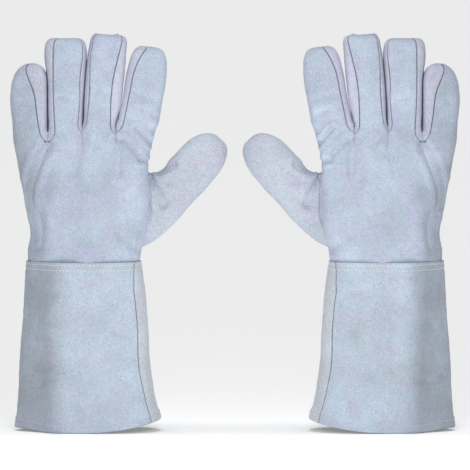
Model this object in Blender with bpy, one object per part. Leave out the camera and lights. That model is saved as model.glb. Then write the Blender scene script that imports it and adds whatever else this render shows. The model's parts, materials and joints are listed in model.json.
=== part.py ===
"""A pair of lined split-leather welding gauntlets, standing side by side on their cuffs.

The frame is in metres, +Z up, with its origin on the floor midway between the gloves. The
backs of the hands face -Y, the palms face +Y, and the two thumbs point at each other.

Both gloves come from one set of dimensions, in millimetres, in the glove's own frame:
x runs from the cuff's middle towards the thumb, y from the back to the palm, and z from
the hem to the fingertips. The right-hand glove is its mirror image.

A digit has a frame of its own: s runs along it from its hinge, q across it towards the
thumb side, and its section is a superellipse whose angle is 0 at the thumb side, 90 at
the palm, 180 at the little-finger side and 270 at the back.
"""

import math

import bmesh
import bpy
from mathutils import Vector

MM = 0.001

# Driving dimensions.
GLOVE_SPACING = 264.0  # between the middles of the two cuffs
LEATHER = 1.5  # thickness of the split leather
LINING = 1.0  # thickness of the cotton lining
LINING_GAP = 1.2  # between the leather and its lining

# The cuff and the hand, as stations up the glove:
# height, little-finger side, thumb side, half depth, roundness of the section.
CUFF = [
    (0.0, -64.5, 65.0, 32.0, 2.4),
    (60.0, -60.8, 57.0, 32.0, 2.4),
    (110.0, -57.8, 53.8, 31.5, 2.4),
    (153.0, -54.7, 48.6, 30.5, 2.4),
]
HAND = [
    (147.0, -51.0, 45.0, 25.5, 2.5),
    (162.0, -52.0, 47.5, 26.0, 2.6),
    (178.0, -51.5, 53.5, 25.5, 2.8),
    (206.0, -57.0, 55.0, 22.5, 3.2),
    (242.0, -63.5, 55.5, 19.5, 4.0),
    (270.0, -66.5, 60.5, 18.0, 4.6),
]
CUFF_TOP = 153.0
HAND_BOTTOM = 148.0
HEM_RISE_THUMB = 11.0  # how far the hem is cut up towards the thumb
HEM_RISE_LITTLE = 3.0
HEM_FLAT = (-44.0, 20.0)  # the stretch of hem that stands on the floor

# Seams, as angles round the section.
LITTLE_SEAM = 165.0  # under the little-finger edge, on the palm side
CUFF_THUMB_SEAM = 320.0  # on the back of the cuff, near its thumb edge
THUMB_HOLE = 35.0  # half the opening that the thumb is set into
THUMB_HOLE_TOP = (232.0, 244.0)  # the opening closes between these heights
CLOSED_SEAM = 2.0
SEAM_HALF = 0.6  # half of every other seam's slit

WRIST_HINGE = (0.0, 0.0, 160.0)
THUMB_HINGE_X = 50.0
THUMB_HINGE_Y = 12.0
HINGE_DEPTH = 7.0  # finger hinges lie this far towards the palm from mid depth

BASE_START = 1.5  # a finger's leather starts this far above its hinge
MID_GAP = 1.0  # half the gap in the leather at a finger's middle joint
MID_NOTCH = 6.0  # how far the palm side is cut back there, to fold
MID_NOTCH_RUN = 3.0
PALM_TOP_DROP = 5.0  # the palm ends this far below the finger hinges, to fold

WEB_THICK = 1.8
WEB_HEIGHT = 15.0
WEB_SADDLE = 3.0
WEB_REACH = 15.9

FINGER_ROUND = 3.0
TIP_FLAT = 0.45  # width of the closed tip, as a share of the digit's width
TIP_EDGE = 0.25  # half the gap between back and palm at a closed tip

# Linear base colours of what the pieces are cut from.
COLOURS = {
    "cuff": (0.50, 0.59, 0.70),
    "hand": (0.51, 0.60, 0.71),
    "finger": (0.47, 0.54, 0.65),
    "fourchette": (0.46, 0.50, 0.62),
    "cotton": (0.80, 0.78, 0.72),
}
ROUGHNESS = 0.95


class Digit:
    """A finger or thumb: its hinge, lean from upright, length, widths and seams."""

    def __init__(self, name, x, z, lean, length, mid, widths, half_depth, tip, seams, y=0.0):
        self.name = name
        self.x = x
        self.y = y
        self.z = z
        self.lean = math.radians(lean)
        self.length = length
        self.mid = mid  # distance from the first hinge to the middle joint
        self.widths = widths  # half widths at the base, the middle and before the tip
        self.half_depth = half_depth
        self.tip_run, self.tip_round = tip
        self.thumb_seam, self.little_seam = seams  # seam angles off the side edges

    def half_width(self, s):
        """Half the width at s, on a parabola through the three given widths."""
        t = min(max(s / self.length, 0.0), 1.0)
        base, belly, end = self.widths
        return base * (1 - t) * (1 - 2 * t) + belly * 4 * t * (1 - t) + end * t * (2 * t - 1)

    def point(self, theta, s, inset):
        """The glove-frame point at this section angle and distance, inset from the surface."""
        length = self.length - inset
        t = min(max((s - length + self.tip_run) / self.tip_run, 0.0), 1.0)
        closing = (1 - t**self.tip_round) ** (1 / self.tip_round)
        a = (self.half_width(s) - inset) * (TIP_FLAT + (1 - TIP_FLAT) * closing)
        b = max((self.half_depth - inset) * closing, TIP_EDGE)
        q, y = superellipse(theta, a, b, FINGER_ROUND)
        return self.place(q, y, s)

    def place(self, q, y, s):
        """From the digit's frame to the glove's."""
        sin, cos = math.sin(self.lean), math.cos(self.lean)
        return Vector((self.x + s * sin + q * cos, self.y + y, self.z + s * cos - q * sin))


# Seam angles: the first is the thumb side's, the second the little-finger side's. A large
# angle puts the seam well in on the back, and a negative one puts it round on the palm.
FINGERS = [
    Digit("index", 44.6, 268.0, 9.0, 77.0, 40.0, (14.2, 17.8, 16.0), 13.5, (12.0, 2.4), (-30.0, 55.0)),
    Digit("middle", 12.0, 270.0, 5.3, 86.0, 44.0, (13.0, 14.8, 16.0), 13.5, (10.0, 3.0), (60.0, 30.0)),
    Digit("ring", -18.6, 269.0, 0.0, 83.0, 43.0, (14.0, 16.2, 17.0), 13.5, (10.0, 3.0), (30.0, 60.0)),
    Digit("little", -50.6, 262.0, -0.7, 67.5, 35.0, (13.2, 16.0, 14.5), 12.5, (17.0, 2.0), (65.0, -30.0)),
]
THUMB = Digit("thumb", 57.0, 196.5, 44.0, 91.5, 50.0, (20.6, 21.4, 18.0), 14.5, (26.0, 2.0), (0.0, 0.0), y=5.0)
THUMB_BASE_X = 55.2  # the plane on which the thumb's leather starts


def superellipse(theta, a, b, roundness):
    """A point on a superellipse with half sides a and b, at the angle theta in degrees."""
    c = math.cos(math.radians(theta))
    s = math.sin(math.radians(theta))
    power = 2.0 / roundness
    return (
        math.copysign(a * abs(c) ** power, c),
        math.copysign(b * abs(s) ** power, s),
    )


def smooth(t):
    """0 below 0, 1 above 1, and an easy curve between."""
    t = min(max(t, 0.0), 1.0)
    return t * t * (3 - 2 * t)


def station(table, z):
    """The section at height z, on a smooth curve through the table's stations."""
    z = min(max(z, table[0][0]), table[-1][0])
    k = max(i for i in range(len(table) - 1) if table[i][0] <= z)
    before = table[max(k - 1, 0)]
    low = table[k]
    high = table[k + 1]
    after = table[min(k + 2, len(table) - 1)]
    step = high[0] - low[0]
    t = (z - low[0]) / step
    found = []
    for i in range(1, len(low)):
        slope_low = (high[i] - before[i]) / (high[0] - before[0]) * step
        slope_high = (after[i] - low[i]) / (after[0] - low[0]) * step
        found.append(
            low[i] * (1 + 2 * t) * (1 - t) ** 2
            + slope_low * t * (1 - t) ** 2
            + high[i] * t * t * (3 - 2 * t)
            - slope_high * t * t * (1 - t)
        )
    return found


def tube_point(table, theta, z, inset):
    """A point on the cuff or the hand, inset from its surface."""
    little, thumb, half_depth, roundness = station(table, z)
    x, y = superellipse(theta, (thumb - little) / 2 - inset, half_depth - inset, roundness)
    return Vector(((thumb + little) / 2 + x, y, z))


def hem_height(x):
    """The hem is flat in the middle, and cut up towards both edges."""
    to_thumb = smooth((x - HEM_FLAT[1]) / (CUFF[0][2] - HEM_FLAT[1]))
    to_little = smooth((HEM_FLAT[0] - x) / (HEM_FLAT[0] - CUFF[0][1]))
    return HEM_RISE_THUMB * to_thumb + HEM_RISE_LITTLE * to_little


def hinge_height(x):
    """Height of the row of finger hinges at x, on straight lines between them."""
    row = [(finger.x, finger.z) for finger in reversed(FINGERS)]
    x = min(max(x, row[0][0]), row[-1][0])
    for (x0, z0), (x1, z1) in zip(row, row[1:]):
        if x <= x1:
            return z0 + (z1 - z0) * (x - x0) / (x1 - x0)
    return row[-1][1]


def hole_angle(z):
    """Half the opening for the thumb at height z, which closes to a seam above it."""
    low, high = THUMB_HOLE_TOP
    return THUMB_HOLE + (CLOSED_SEAM - THUMB_HOLE) * smooth((z - low) / (high - low))


def matt_material(name, colour):
    """A matt leather or cotton of this linear colour."""
    made = bpy.data.materials.new(name)
    made.use_nodes = True
    shader = made.node_tree.nodes["Principled BSDF"]
    shader.inputs["Base Color"].default_value = (*colour, 1.0)
    shader.inputs["Roughness"].default_value = ROUGHNESS
    shader.inputs["Metallic"].default_value = 0.0
    return made


class Glove:
    """Builds one glove's pieces and puts them in the scene."""

    def __init__(self, word, mirrored, collection):
        self.word = word
        self.sign = -1.0 if mirrored else 1.0
        self.collection = collection

    def world(self, point):
        """From the glove's frame in millimetres to the scene's in metres."""
        x = self.sign * (point[0] - GLOVE_SPACING / 2)
        return Vector((x, point[1], point[2])) * MM

    def pivot(self, name, point, parent=None):
        """An empty on a joint's axis, which carries the pieces that turn about it."""
        empty = bpy.data.objects.new(f"{self.word}_{name}_pivot", None)
        empty.empty_display_size = 10 * MM
        self.collection.objects.link(empty)
        location = self.world(point)
        if parent is not None:
            empty.parent = parent
            location = location - parent.matrix_world.translation
        empty.location = location
        bpy.context.view_layer.update()
        return empty

    def add(self, name, shape, cut_from, pivot):
        """Makes a closed bmesh, whose points are in the glove's frame, into an object."""
        origin = pivot.matrix_world.translation
        for vertex in shape.verts:
            vertex.co = self.world(vertex.co) - origin
        bmesh.ops.recalc_face_normals(shape, faces=shape.faces)
        if shape.calc_volume(signed=True) < 0:
            bmesh.ops.reverse_faces(shape, faces=shape.faces)
        mesh = bpy.data.meshes.new(f"{self.word}_{name}")
        shape.to_mesh(mesh)
        shape.free()
        mesh.materials.append(matt_material(f"{self.word}_{name}", COLOURS[cut_from]))
        mesh.shade_smooth()
        mesh.set_sharp_from_angle(angle=math.radians(40))
        obj = bpy.data.objects.new(f"{self.word}_{name}", mesh)
        obj.parent = pivot
        self.collection.objects.link(obj)
        return obj


def sheet(place, across, along):
    """A leather panel: a flat slab whose points go where place(u, v, w) says.

    u runs across the panel and v along it, both from 0 to 1; w is 0 outside, 1 inside."""
    shape = bmesh.new()
    bmesh.ops.create_grid(shape, x_segments=across, y_segments=along, size=0.5)
    bmesh.ops.solidify(shape, geom=shape.faces[:], thickness=1.0)
    for vertex in shape.verts:
        u, v, w = vertex.co.x + 0.5, vertex.co.y + 0.5, round(abs(vertex.co.z))
        vertex.co = place(min(max(u, 0.0), 1.0), min(max(v, 0.0), 1.0), w)
    return shape


def between(a, b, t):
    return a + (b - a) * t


def tube_sheet(table, angles, heights, inset, thickness, across, along):
    """A panel of the cuff or hand. angles(z) and heights(x) give its two edges each way."""

    def place(u, v, w):
        depth = inset + w * thickness
        z = between(*heights(0.0), v)
        for _ in range(3):  # the heights depend on x, and x a little on the height
            theta = between(*angles(z), u)
            x = tube_point(table, theta, z, depth).x
            z = between(*heights(x), v)
        return tube_point(table, theta, z, depth)[:2] + (z,)

    return sheet(place, across, along)


def cuff_pieces(glove, pivot):
    """The gauntlet cuff: a back and a palm of leather, and the cotton tube inside them."""

    def heights(x):
        return hem_height(x), CUFF_TOP

    def lining_heights(x):
        return hem_height(x) + 4.0, 131.0

    seams = {
        "cuff_back": (LITTLE_SEAM + SEAM_HALF, CUFF_THUMB_SEAM - SEAM_HALF),
        "cuff_palm": (CUFF_THUMB_SEAM - 360 + SEAM_HALF, LITTLE_SEAM - SEAM_HALF),
    }
    for name, ends in seams.items():
        shape = tube_sheet(CUFF, lambda z: ends, heights, 0.0, LEATHER, 14, 3)
        glove.add(name, shape, "cuff", pivot)
    inset = LEATHER + LINING_GAP
    ends = (CUFF_THUMB_SEAM - 360 + SEAM_HALF, CUFF_THUMB_SEAM - SEAM_HALF)
    shape = tube_sheet(CUFF, lambda z: ends, lining_heights, inset, LINING, 28, 3)
    glove.add("cuff_lining", shape, "cotton", pivot)


def hand_pieces(glove, pivot):
    """The hand: its back and palm, and the cotton lining, all open where the thumb is set in."""

    def back_angles(z):
        return LITTLE_SEAM + SEAM_HALF, 360 - hole_angle(z)

    def palm_angles(z):
        return hole_angle(z), LITTLE_SEAM - SEAM_HALF

    def lining_angles(z):
        return THUMB_HOLE + 9.0, 351.0 - THUMB_HOLE

    def back_heights(x):
        return HAND_BOTTOM, hinge_height(x)

    def palm_heights(x):
        return HAND_BOTTOM, hinge_height(x) - PALM_TOP_DROP

    def lining_heights(x):
        return HAND_BOTTOM + 4.0, hinge_height(x) - WEB_HEIGHT - 8.0

    back = tube_sheet(HAND, back_angles, back_heights, 0.0, LEATHER, 14, 7)
    glove.add("hand_back", back, "hand", pivot)
    palm = tube_sheet(HAND, palm_angles, palm_heights, 0.0, LEATHER, 12, 7)
    glove.add("hand_palm", palm, "hand", pivot)
    inset = LEATHER + LINING_GAP
    lining = tube_sheet(HAND, lining_angles, lining_heights, inset, LINING, 24, 5)
    glove.add("hand_lining", lining, "cotton", pivot)


def web_piece(glove, pivot, thumb_side, little_side):
    """The doubled fork of leather at the crotch between two fingers."""
    thumb_edge = thumb_side.x - thumb_side.widths[0] * math.cos(thumb_side.lean)
    little_edge = little_side.x + little_side.widths[0] * math.cos(little_side.lean)
    x = (thumb_edge + little_edge) / 2
    lean = math.tan((thumb_side.lean + little_side.lean) / 2)
    top = min(thumb_side.z, little_side.z) - 1.0

    def place(u, v, w):
        y = between(-WEB_REACH, WEB_REACH, u)
        crest = top - WEB_SADDLE * (1 - (2 * u - 1) ** 2)
        if y > HINGE_DEPTH:
            crest -= PALM_TOP_DROP * smooth((y - HINGE_DEPTH) / MID_NOTCH)
        z = between(top - WEB_HEIGHT, crest, v)
        return x + (z - top) * lean + (w - 0.5) * WEB_THICK, y, z

    glove.add(f"fork_{thumb_side.name}_{little_side.name}", sheet(place, 6, 3), "fourchette", pivot)


def mid_edge(y):
    """Where a digit's base leather ends before its middle joint, cut back to fold."""
    return -MID_GAP - MID_NOTCH * smooth((y - HINGE_DEPTH + 1.0) / MID_NOTCH_RUN)


def digit_sheet(digit, ends, start, across, along):
    """A panel of a digit's base part, between two section angles. start(q) is its lower edge."""

    def place(u, v, w):
        theta = between(*ends, u)
        inset = w * LEATHER
        q, y = superellipse(theta, digit.half_width(0.0), digit.half_depth, FINGER_ROUND)
        s = between(start(q), digit.mid + mid_edge(y), v)
        return digit.point(theta, s, inset)

    return sheet(place, across, along)


def tip_lump(digit, start, inset):
    """A solid digit end from start to the tip: a sphere whose rings take the sections."""
    rings = 8
    shape = bmesh.new()
    bmesh.ops.create_uvsphere(shape, u_segments=14, v_segments=rings, radius=1.0)
    length = digit.length - inset
    for vertex in shape.verts:
        ring = round((math.degrees(math.asin(max(-1.0, min(1.0, vertex.co.z)))) + 90) / 180 * rings)
        theta = math.degrees(math.atan2(vertex.co.y, vertex.co.x))
        if ring == 0:
            vertex.co = digit.place(0.0, 0.0, start)
        elif ring == rings:
            vertex.co = digit.place(0.0, 0.0, length)
        else:
            share = (ring - 1) / (rings - 2)
            s = between(start, length, 1 - (1 - share) ** 1.6)
            vertex.co = digit.point(theta, s, inset)
    return shape


def hollow(outer, inner):
    """Cuts the inner object out of the outer one, and drops it."""
    cut = outer.modifiers.new("hollow", "BOOLEAN")
    cut.operation = "DIFFERENCE"
    cut.solver = "EXACT"
    cut.object = inner
    bpy.context.view_layer.update()
    graph = bpy.context.evaluated_depsgraph_get()
    mesh = bpy.data.meshes.new_from_object(outer.evaluated_get(graph))
    outer.modifiers.clear()
    outer.data = mesh
    bpy.data.objects.remove(inner)


def tip_piece(glove, pivot, digit):
    """The far half of a digit: a leather thimble, open where the rest of it joins."""
    outer = glove.add(f"{digit.name}_tip", tip_lump(digit, digit.mid + MID_GAP, 0.0), "finger", pivot)
    inner = glove.add("tip_core", tip_lump(digit, digit.mid - 3.0, LEATHER), "finger", pivot)
    hollow(outer, inner)


def finger_pieces(glove, pivot, digit):
    """A finger's base part: back, palm and the side walls that face its neighbours."""
    thumb_seam, little_seam = digit.thumb_seam, digit.little_seam
    slit = 1.2
    palm_seam = 42.0

    def start(q):
        return (BASE_START + q * math.sin(digit.lean)) / math.cos(digit.lean)

    def add(name, ends, across, cut_from="finger"):
        shape = digit_sheet(digit, ends, start, across, 2)
        glove.add(f"{digit.name}_{name}", shape, cut_from, pivot)

    add("back", (180 + little_seam + slit, 360 - thumb_seam - slit), 6)
    palm_thumb = palm_seam if thumb_seam > 0 else -thumb_seam
    palm_little = palm_seam if little_seam > 0 else -little_seam
    add("palm", (palm_thumb + slit, 180 - palm_little - slit), 6)
    if thumb_seam > 0:
        add("fourchette_thumb_side", (-thumb_seam + slit, palm_seam - slit), 4, "fourchette")
    if little_seam > 0:
        add("fourchette_little_side", (180 - palm_seam + slit, 180 + little_seam - slit), 4, "fourchette")


def thumb_pieces(glove, pivot, digit):
    """The thumb's base part, whose lower edge is an upright seam beside the hand."""
    slit = 1.2

    def start(q):
        sin, cos = math.sin(digit.lean), math.cos(digit.lean)
        return (THUMB_BASE_X - digit.x - q * cos) / sin

    for name, ends in {"thumb_back": (180 + slit, 360 - slit), "thumb_palm": (slit, 180 - slit)}.items():
        shape = digit_sheet(digit, ends, start, 8, 3)
        glove.add(name, shape, "hand", pivot)


def build_glove(word, mirrored, collection):
    """One glove: cuff, hand, forks, four fingers and the thumb, each on its pivot."""
    glove = Glove(word, mirrored, collection)
    cuff = glove.pivot("cuff", (0.0, 0.0, 0.0))
    cuff_pieces(glove, cuff)
    hand = glove.pivot("hand", WRIST_HINGE, cuff)
    hand_pieces(glove, hand)
    for thumb_side, little_side in zip(FINGERS, FINGERS[1:]):
        web_piece(glove, hand, thumb_side, little_side)
    for digit in FINGERS:
        base = glove.pivot(digit.name, digit.place(0.0, HINGE_DEPTH, 0.0), hand)
        finger_pieces(glove, base, digit)
        tip = glove.pivot(f"{digit.name}_tip", digit.place(0.0, HINGE_DEPTH, digit.mid), base)
        tip_piece(glove, tip, digit)
    base = glove.pivot("thumb", (THUMB_HINGE_X, THUMB_HINGE_Y, THUMB.z), hand)
    thumb_pieces(glove, base, THUMB)
    tip = glove.pivot("thumb_tip", THUMB.place(0.0, HINGE_DEPTH, THUMB.mid), base)
    tip_piece(glove, tip, THUMB)



def main():
    for obj in list(bpy.data.objects):
        bpy.data.objects.remove(obj)
    collection = bpy.data.collections.new("welding_gloves")
    bpy.context.scene.collection.children.link(collection)
    build_glove("left", False, collection)
    build_glove("right", True, collection)


main()
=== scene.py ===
"""The looks of a pair of lined split-leather welding gauntlets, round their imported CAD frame.

Lengths are in millimetres in a glove's own frame until a mesh is made: x runs from the cuff's
middle towards the thumb, y from the back to the palm, and z up from the hem. The right-hand
glove is the left-hand one mirrored. Angles go round a section in degrees: 0 is the thumb side,
90 the palm, 180 the little-finger side and 270 the back.

Every leather panel is a closed sheet. Its outer face is a grid of points on the glove's
surface, lifted by folds and ripples, and rolled inwards along its sewn edges. A panel that
would cross two joints is cut where the glove is stiff, and both sides of that cut take their
points and normals from one surface, so it doesn't show.
"""

import json
import math

import bpy
import numpy as np
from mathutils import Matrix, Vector


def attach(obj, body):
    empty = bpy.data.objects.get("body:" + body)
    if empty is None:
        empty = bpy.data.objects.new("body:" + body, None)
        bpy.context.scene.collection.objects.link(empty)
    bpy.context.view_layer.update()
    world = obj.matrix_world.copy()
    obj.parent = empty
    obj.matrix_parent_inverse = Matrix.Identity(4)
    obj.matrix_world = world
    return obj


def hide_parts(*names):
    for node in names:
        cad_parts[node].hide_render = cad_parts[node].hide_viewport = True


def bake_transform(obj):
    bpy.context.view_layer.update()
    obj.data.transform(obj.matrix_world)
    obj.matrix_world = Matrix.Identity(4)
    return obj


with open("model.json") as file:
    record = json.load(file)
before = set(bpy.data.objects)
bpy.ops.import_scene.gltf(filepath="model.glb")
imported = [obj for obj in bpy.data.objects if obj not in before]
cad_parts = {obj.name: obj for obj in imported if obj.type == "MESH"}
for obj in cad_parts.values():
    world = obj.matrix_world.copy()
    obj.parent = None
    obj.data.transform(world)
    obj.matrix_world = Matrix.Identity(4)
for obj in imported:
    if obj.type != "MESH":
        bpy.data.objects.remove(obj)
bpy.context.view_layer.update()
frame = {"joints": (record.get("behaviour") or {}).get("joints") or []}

MM = 0.001
LEATHER = 1.4
LINING = 0.9
STEP = 1.9  # grid spacing on the leather
SEAM_ROLL = 1.25  # radius of a panel's rolled edge
CUFF_STEP = 2.3  # grid spacing on the cuff
CROTCH_STEP = 0.7  # grid spacing up the fingers beside their crotches
NEAR_SEAM = np.array([0.0, 0.25, 0.6, 1.0, 1.5, 2.2])  # grid lines beside a seam
FAR = 99.0  # a distance that means no seam is near

# Stations up the glove: height, little-finger side, thumb side, half depth, and roundness on
# the thumb's half and on the little finger's.
CUFF = [
    (0, -65, 65.8, 32, 2.4, 1.6),
    (14, -64.2, 64, 32, 2.4, 1.55),
    (30, -62.9, 60.6, 32, 2.4, 1.5),
    (63, -60.9, 56, 32, 2.4, 1.45),
    (110, -57.9, 53.4, 31.5, 2.4, 1.45),
    (135, -56.6, 50.4, 31, 2.4, 1.5),
    (153, -54.8, 47.6, 30.5, 2.4, 1.6),
]
HAND = [
    (140, -52.6, 45.8, 28.4, 2.4, 1.6),
    (153, -53.4, 46.6, 28.6, 2.5, 1.6),
    (162, -53.6, 48.2, 27.8, 2.6, 1.6),
    (176, -51.4, 52, 26, 2.7, 1.65),
    (190, -53.4, 54, 24.2, 3, 1.7),
    (206, -56.4, 55, 22.6, 3.2, 1.7),
    (224, -59.6, 55, 20.8, 3.5, 1.9),
    (242, -63, 55, 19.4, 3.8, 2.5),
    (258, -65.2, 58, 18.2, 4.2, 3.6),
    (273, -66.6, 61.6, 17.2, 4.4, 4.2),
]
CUFF_TOP = 153.0
HAND_BOTTOM = 145.0
HEM_RISE_THUMB = 10.7
HEM_RISE_LITTLE = 2.7
HEM_FLAT = (-30.0, -15.0)
HEM_TURN = 9.0  # width of the turned-up hem
HEM_ROW = HEM_TURN - 1.6  # height of the hem's stitches above its edge
WRIST_ROWS = (2.8, 7.4)  # stitch rows below the cuff's top edge
KNUCKLE_CUT = 252.0  # height at which the hand's panels meet the fingers'
KNUCKLE_RUN = 26.0  # the fingers take their own sections over this height above it
WRIST_BEND = ((0, 0, 150.0), (0, 0, 172.0))  # points at two heights across the wrist, passed with the hand's panels; nothing bends them

LITTLE_SEAM = 150.0  # the angle of the seam under the little finger's edge
CUFF_HAND_WIDTH = 150.0  # round half of the cuff or hand, to space a grid
THUMB_ROOT = (224.0, 235.0)  # the hand's thumb opening closes between these heights


def smooth(t):
    """0 below 0, 1 above 1, and a smooth rise between them."""
    t = np.clip(t, 0.0, 1.0)
    return t * t * (3 - 2 * t)


def between(a, b, t):
    """The value a share t of the way from a to b."""
    return a + (b - a) * t


def stations(table, z):
    """The table's columns at the heights z, on a smooth curve through its rows."""
    rows = np.array(table)
    levels = rows[:, 0]
    slopes = np.gradient(rows, levels, axis=0)
    z = np.clip(z, levels[0], levels[-1])
    k = np.clip(np.searchsorted(levels, z, side="right") - 1, 0, len(levels) - 2)
    step = (levels[k + 1] - levels[k])[..., None]
    t = (z - levels[k])[..., None] / step
    found = rows[k] * (1 + 2 * t) * (1 - t) ** 2 + slopes[k] * step * t * (1 - t) ** 2
    found += rows[k + 1] * t * t * (3 - 2 * t) - slopes[k + 1] * step * t * t * (1 - t)
    return np.moveaxis(found[..., 1:], -1, 0)


def rim(angle, roundness, little_roundness=None):
    """A superellipse of half sides 1 where the ray at this angle meets it."""
    c, s = np.cos(np.radians(angle)), np.sin(np.radians(angle))
    power = roundness if little_roundness is None else np.where(c < 0, little_roundness, roundness)
    reach = (np.abs(c) ** power + np.abs(s) ** power) ** (-1 / power)
    return c * reach, s * reach


def back_angle(share, roundness, little_roundness=None):
    """The angle, on the back, of the point at this share of the half width."""
    share = np.clip(share, -0.999, 0.999)
    power = roundness if little_roundness is None or share >= 0 else little_roundness
    depth = (1 - np.abs(share) ** power) ** (1 / power)
    return 360 - np.degrees(np.arctan2(depth, share))


def even_angles(a, b, powers, first, last, shares):
    """Angles that divide the arc from first to last at these shares of its length."""
    fine = np.linspace(first, last, 161)
    c, s = rim(fine, *powers)
    run = np.concatenate([[0.0], np.cumsum(np.hypot(np.diff(a * c), np.diff(b * s)))])
    return np.interp(shares * run[-1], run, fine)


def tube_points(table, angles, z, inset=0.0):
    """Points of the cuff or hand at these angles and heights."""
    little, thumb, depth, roundness, little_roundness = stations(table, z)
    c, s = rim(angles, roundness, little_roundness)
    x = (thumb + little) / 2 + ((thumb - little) / 2 - inset) * c
    return np.stack([x, (depth - inset) * s, z + 0 * x], -1)


def tube_row(table, first, last, shares, z, inset=0.0):
    """One row of a panel of the cuff or hand, evenly spaced from angle first to last."""
    little, thumb, depth, *powers = stations(table, np.array(float(np.mean(z))))
    angles = even_angles((thumb - little) / 2, depth, powers, first, last, shares)
    return tube_points(table, angles, np.broadcast_to(z, angles.shape), inset)


def hem_height(x):
    """The height of the hem's edge, which stands flat in the middle and is cut up to both sides."""
    to_thumb = np.clip((x - HEM_FLAT[1]) / (CUFF[0][2] - HEM_FLAT[1]), 0, 1) ** 2.4
    to_little = smooth((HEM_FLAT[0] - x) / (HEM_FLAT[0] - CUFF[0][1]))
    return HEM_RISE_THUMB * to_thumb + HEM_RISE_LITTLE * to_little


# ----------------------------------------
# Digits


class Digit:
    """A finger or thumb: s runs along it from its hinge, q across it to the thumb side."""

    def __init__(self, name, hinge, lean, length, edges, half_depth, tip, roundness):
        self.name = name
        self.x, self.y, self.z = hinge
        self.sin, self.cos = math.sin(math.radians(lean)), math.cos(math.radians(lean))
        self.length = length
        self.edges = edges
        self.half_depth = half_depth
        self.tip_run, self.tip_round, self.tip_flat = tip
        self.roundness = roundness

    def sides(self, s):
        """Middle, half width and half depth at s, closing at the tip."""
        low, high = stations(self.edges, np.array(s, float))
        t = np.clip((s - self.length + self.tip_run) / self.tip_run, 0, 1)
        closing = (1 - t**self.tip_round) ** (1 / self.tip_round)
        narrow = self.tip_flat + (1 - self.tip_flat) * closing
        return (low + high) / 2, (high - low) / 2 * narrow, self.half_depth * closing + 0.3 * (1 - closing)

    def place(self, q, y, s):
        """The point that is q across, y towards the palm and s along."""
        x = self.x + s * self.sin + q * self.cos
        z = self.z + s * self.cos - q * self.sin
        return np.stack([x, self.y + y + 0 * x, z], -1)

    def row(self, first, last, shares, s, fuller=(0.0, 0.0)):
        """Points from angle first to last; fuller widens the palm's side by this on each side."""
        middle, a, b = self.sides(s)
        angles = even_angles(a, b, [self.roundness], first, last, shares)
        c, sn = rim(angles, self.roundness)
        extra = np.where(c < 0, -fuller[0], fuller[1]) * c * c * smooth((b * sn + 1.0) / 6.0)
        return self.place(middle + a * c + extra, b * sn, s)

    def levels(self, start):
        """Grid levels from start to the tip, closer together where it closes."""
        shoulder = self.length - self.tip_run
        count = max(2, round((shoulder - start) / STEP))
        turns = np.linspace(0, 90, 12)[1:]
        ahead, _ = rim(90 - turns, self.tip_round)
        along = self.length - self.tip_run + self.tip_run * ahead
        return np.concatenate([np.linspace(start, shoulder, count + 1), along])


class Crotch:
    """Where two fingers part: x of the parting, and heights of the web and of its U seams."""

    run = 8.0  # the height over which the two fingers part
    slope = 0.17  # how far into the slit, as a share of its depth, the web keeps rising

    def __init__(self, x, web, back, palm, gap):
        self.x, self.web, self.back, self.palm, self.gap = x, web, back, palm, gap

    def open(self, z, across):
        """How far the fingers have parted at height z; across is 0 at the back, 1 at the palm."""
        low = self.web - (self.web - self.back) * (1 - smooth(across / self.slope))
        low = low - (self.web - self.palm) * (1 - smooth((1 - across) / self.slope))
        t = np.clip((z - low) / self.run, 0, 1)
        return np.sqrt(1 - (1 - t) ** 2)


joints = {joint["name"]: joint for joint in frame["joints"]}
GLOVE_X = joints["right_wrist"]["pos_m"][0] / MM


def hinge(name, depth=0.0):
    """A left-hand glove's joint in the glove's own frame."""
    x, y, z = (value / MM for value in joints["left_" + name]["pos_m"])
    return (x + GLOVE_X, y - depth, z)


HINGE_DEPTH = 7.0  # the hinges lie this far towards the palm from mid depth
# A finger's edges: s, and its little-finger side and thumb side across it.
INDEX_EDGES = [
    (-16, -17.3, 13.5),
    (0, -18.2, 15.6),
    (11, -18.4, 17.5),
    (24, -17.6, 17.6),
    (50, -17.5, 18.4),
    (77, -15, 15),
]
MIDDLE_EDGES = [(-18, -15.5, 12.6), (6, -15.7, 12.9), (22, -16.7, 15.5), (50, -17.3, 16.6), (86, -15.4, 16.4)]
RING_EDGES = [(-17, -15.7, 14.2), (23, -16, 14.7), (45, -16.4, 16.2), (66, -18.8, 17.4), (83, -17.8, 16.6)]
LITTLE_EDGES = [(-10, -15.4, 14.9), (4, -15.4, 14.9), (32, -17.7, 15), (43, -17.4, 15.3), (68, -11.5, 15.8)]
# Each finger's lean, length, edges, half depth, tip (its run, roundness and flatness) and roundness.
FINGER_SHAPES = {
    "index": (9.0, 76.5, INDEX_EDGES, 13.5, (14.0, 2.4, 0.38), 3.8),
    "middle": (5.3, 85.0, MIDDLE_EDGES, 13.5, (10.0, 3.0, 0.60), 4.2),
    "ring": (0.0, 82.5, RING_EDGES, 13.5, (11.0, 2.8, 0.55), 4.2),
    "little": (-0.7, 66.5, LITTLE_EDGES, 12.5, (17.0, 2.1, 0.15), 3.6),
}
FINGERS = {
    name: Digit(name, hinge(f"{name}_base", HINGE_DEPTH), *shape) for name, shape in FINGER_SHAPES.items()
}
MIDDLE_JOINT = {
    name: math.dist(joints[f"left_{name}_tip"]["pos_m"], joints[f"left_{name}_base"]["pos_m"]) / MM
    for name in FINGERS
}
CROTCHES = {
    ("index", "middle"): Crotch(26.1, 273, 267, 262, 0.6),
    ("middle", "ring"): Crotch(-4.2, 272.5, 269, 263, 0.95),
    ("ring", "little"): Crotch(-34.9, 268, 260.5, 260, 0.95),
}
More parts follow.
